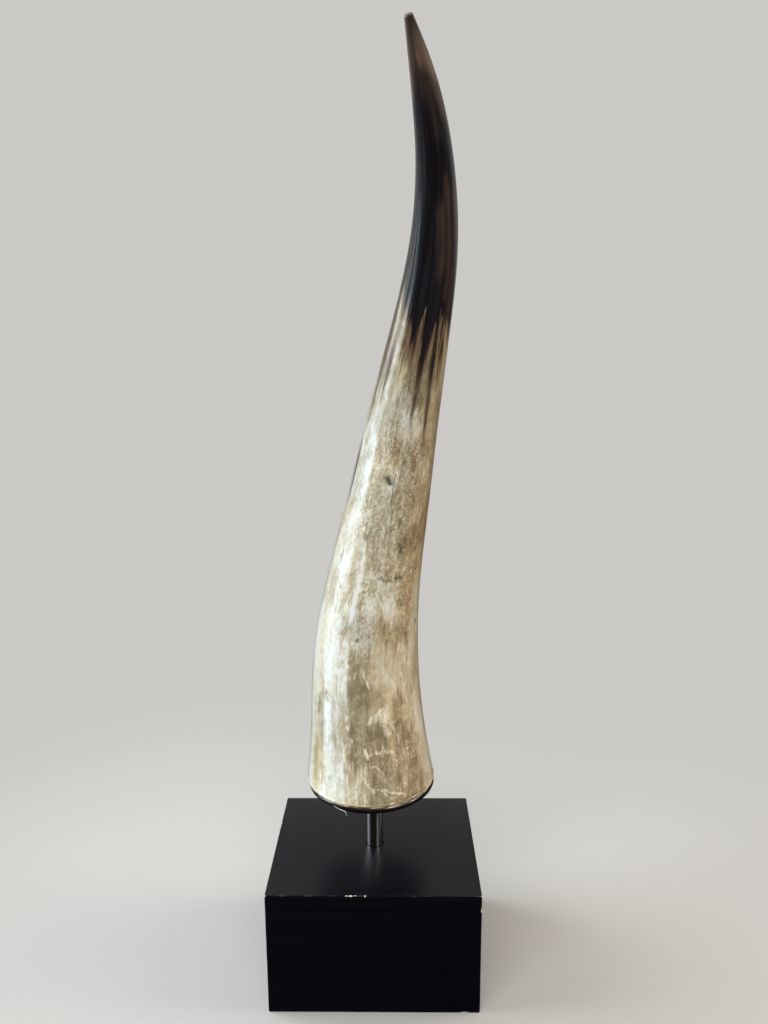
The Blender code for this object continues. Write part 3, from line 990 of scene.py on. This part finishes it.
def lacquer_shade():
    """Satin black lacquer over wood: fine grain along X, dust, and edges paler, browner and rougher
    in patches.
    """
    shade = Shade("black_lacquer")
    place = shade.place()
    grain = shade.noise(place, (9, 420, 420), detail=4, roughness=0.6)
    cloudy = shade.noise(place, (22, 22, 22))
    edge_patches = shade.noise(place, (160, 160, 160), detail=4, roughness=0.7)
    # The block's edges turn paler, browner and rougher in noisy patches.
    pale_edges = shade.times(near_edges(shade, place), shade.step(edge_patches, 0.5, 0.74))
    dust = shade.step(shade.noise(place, (700, 700, 700), detail=1), 0.8, 0.86)
    streak = shade.step(grain, 0.3, 0.7)
    color = shade.mix(streak, (0.0012, 0.0016, 0.0037), (0.0024, 0.0029, 0.0058))
    color = shade.mix(shade.times(dust, 0.5), color, (0.3, 0.29, 0.27))
    color = shade.mix(shade.times(pale_edges, 0.28), color, (0.2, 0.17, 0.14))
    shade.set(base_color=color, specular_ior_level=0.34)
    shade.set(roughness=shade.ragged(0.4, (grain, 0.14), (cloudy, 0.1), (pale_edges, 0.15)))
    shade.bump(grain, 0.02 * MM, 0.35)
    return shade


def board_shade():
    """The pale board inside the block, bare where the lacquer is chipped."""
    shade = Shade("bare_board")
    fibres = shade.noise(shade.place(), (900, 900, 900), detail=3)
    shade.set(base_color=shade.mix(fibres, (0.42, 0.36, 0.27), (0.8, 0.74, 0.62)), roughness=0.85)
    return shade


def carve(item, cutters, shade):
    """The item's mesh with the cutters taken out of it; new faces of chips get the shade."""
    for name, shape in cutters:
        mesh = bpy.data.meshes.new(name)
        shape.to_mesh(mesh)
        shape.free()
        inside = shade.material if name.startswith("chip") else item.data.materials[0]
        mesh.materials.append(inside)
        cut = item.modifiers.new(name, "BOOLEAN")
        cut.object = add_object(name, mesh)
        cut.material_mode = "TRANSFER"
    bpy.context.view_layer.update()
    carved = item.evaluated_get(bpy.context.evaluated_depsgraph_get())
    result = bpy.data.meshes.new_from_object(carved)
    for cut in list(item.modifiers):
        bpy.data.objects.remove(cut.object)
    bpy.data.objects.remove(item)
    return result


def placed(shape, size, place):
    """The shape scaled, then moved."""
    bmesh.ops.scale(shape, vec=size, verts=shape.verts)
    bmesh.ops.translate(shape, vec=place, verts=shape.verts)
    return shape


def uncut_block():
    """The whole block with soft edges."""
    shape = bmesh.new()
    bmesh.ops.create_cube(shape, size=1.0)
    placed(shape, BLOCK_HIGH - BLOCK_LOW, (BLOCK_LOW + BLOCK_HIGH) / 2)
    bmesh.ops.bevel(
        shape, geom=shape.edges[:], offset=BLOCK_EDGE, segments=3, profile=0.5, affect="EDGES"
    )
    mesh = bpy.data.meshes.new("uncut_block")
    shape.to_mesh(mesh)
    shape.free()
    mesh.materials.append(lacquer_shade().material)
    return add_object("uncut_block", mesh)


def bore_shape():
    """What the rod's hole takes out of the block."""
    shape = bmesh.new()
    radius, low, high = ROD_RADIUS + GAP, ROD_LOW.z - GAP, BLOCK_HIGH.z + ROD_RADIUS
    bmesh.ops.create_cone(
        shape, cap_ends=True, segments=96, radius1=radius, radius2=radius, depth=high - low
    )
    return placed(shape, (1, 1, 1), (0, 0, (low + high) / 2))


def chip_shape(rng, place, size):
    """What a chip takes out of the block."""
    shape = bmesh.new()
    bmesh.ops.create_icosphere(shape, subdivisions=2, radius=1.0)
    for vertex in shape.verts:
        vertex.co *= rng.uniform(0.78, 1.08)
    return placed(shape, Vector(size) * MM, Vector(place) * MM)


def make_block():
    """The block with its rod bore, soft edges and chips."""
    rng = np.random.default_rng(CHIP_SEED)
    cutters = [("rod_bore", bore_shape())]
    cutters += [(f"chip_{i}", chip_shape(rng, *chip)) for i, chip in enumerate(CHIPS)]
    mesh = carve(uncut_block(), cutters, board_shade())
    mesh.name = "lacquered_block"
    mesh.shade_smooth()
    mesh.set_sharp_from_angle(angle=math.radians(28))
    add_piece("lacquered_block", mesh, None, "black_lacquer", "base_block")


# Studio


def make_floor():
    """A pale floor that fades into the backdrop with distance. Only the camera sees it, so the
    part mirrors the studio's own light."""
    mesh = bpy.data.meshes.new("studio_floor")
    corners = [(x, y, 0) for x, y in ((-1, -1), (1, -1), (1, 1), (-1, 1))]
    mesh.from_pydata(FLOOR_HALF_WIDTH * np.array(corners), [], [(0, 1, 2, 3)])
    floor = add_object("studio_floor", mesh)
    shade = Shade("floor_paint")
    shade.set(base_color=FLOOR_COLOR, roughness=0.8, specular_ior_level=0.0)
    distance = shade.add("ShaderNodeVectorMath", {0: shade.place()}, operation="LENGTH").outputs[1]
    glow = shade.add("ShaderNodeEmission", {"Color": BACKDROP_COLOR})
    blend = shade.add("ShaderNodeMixShader", {0: shade.step(distance, *FLOOR_FADE)})
    shade.put(blend.inputs[1], shade.surface.outputs[0])
    shade.put(blend.inputs[2], glow.outputs[0])
    output = shade.tree.nodes["Material Output"]
    shade.put(output.inputs["Surface"], blend.outputs[0])
    mesh.materials.append(shade.material)
    for rays in ("diffuse", "glossy", "transmission", "shadow"):
        setattr(floor, f"visible_{rays}", False)


def make_light(name, use, place, aim, size, power, color, roll=0, spread=180):
    data = bpy.data.lights.new(f"{name}_light", "AREA")
    data.shape = "RECTANGLE"
    data.size, data.size_y = size
    data.energy = power
    data.color = color
    data.spread = math.radians(spread)
    light = add_object(data.name, data)
    light.location = place
    turn = (Vector(aim) - Vector(place)).to_track_quat("-Z", "Y").to_matrix()
    light.rotation_euler = (turn @ Matrix.Rotation(math.radians(roll), 3, "Z")).to_euler()
    light.visible_glossy = use != "soft"
    light.visible_diffuse = use != "mirrored"
    light.visible_camera = False


def make_world():
    """A pale backdrop for the camera. The part is lit from behind, less from in front, and least
    from below."""
    world = bpy.data.worlds.new("studio")
    bpy.context.scene.world = world
    world.use_nodes = True
    world.node_tree.nodes.clear()
    nodes = Nodes(world.node_tree)
    direction = nodes.add("ShaderNodeTexCoord", {}).outputs["Generated"]
    split = nodes.add("ShaderNodeSeparateXYZ", {0: direction}).outputs
    behind = nodes.mix(nodes.step(split["Z"], 0.48, 0.66), BEHIND_LOW, BEHIND_HIGH)
    light = nodes.mix(nodes.step(split["Y"], -0.35, 0.55), IN_FRONT, behind)
    light = nodes.mix(nodes.step(split["Z"], 0.02, -0.12), light, BELOW)
    seen = nodes.add("ShaderNodeLightPath", {}).outputs["Is Camera Ray"]
    color = nodes.mix(seen, light, BACKDROP_COLOR)
    background = nodes.add("ShaderNodeBackground", {"Color": color})
    nodes.add("ShaderNodeOutputWorld", {"Surface": background.outputs[0]})


def make_camera():
    data = bpy.data.cameras.new("photo_camera")
    data.sensor_width = SENSOR_MM
    data.lens = FOCAL_LENGTH_PX / PICTURE_HEIGHT_PX * SENSOR_MM
    data.clip_start = 0.01
    camera = add_object("photo_camera", data)
    turn = (
        Matrix.Rotation(CAMERA_YAW, 4, "Z")
        @ Matrix.Rotation(math.pi / 2 + CAMERA_PITCH, 4, "X")
        @ Matrix.Rotation(CAMERA_ROLL, 4, "Z")
    )
    camera.matrix_world = Matrix.Translation(CAMERA_PLACE) @ turn
    bpy.context.scene.camera = camera


make_camera()
make_floor()
make_world()
for light in LIGHTS:
    make_light(*light)
make_horn()
make_disc()
make_rod()
make_block()
make_glue()
make_glue_thread()
bpy.context.scene.view_settings.view_transform = "Standard"
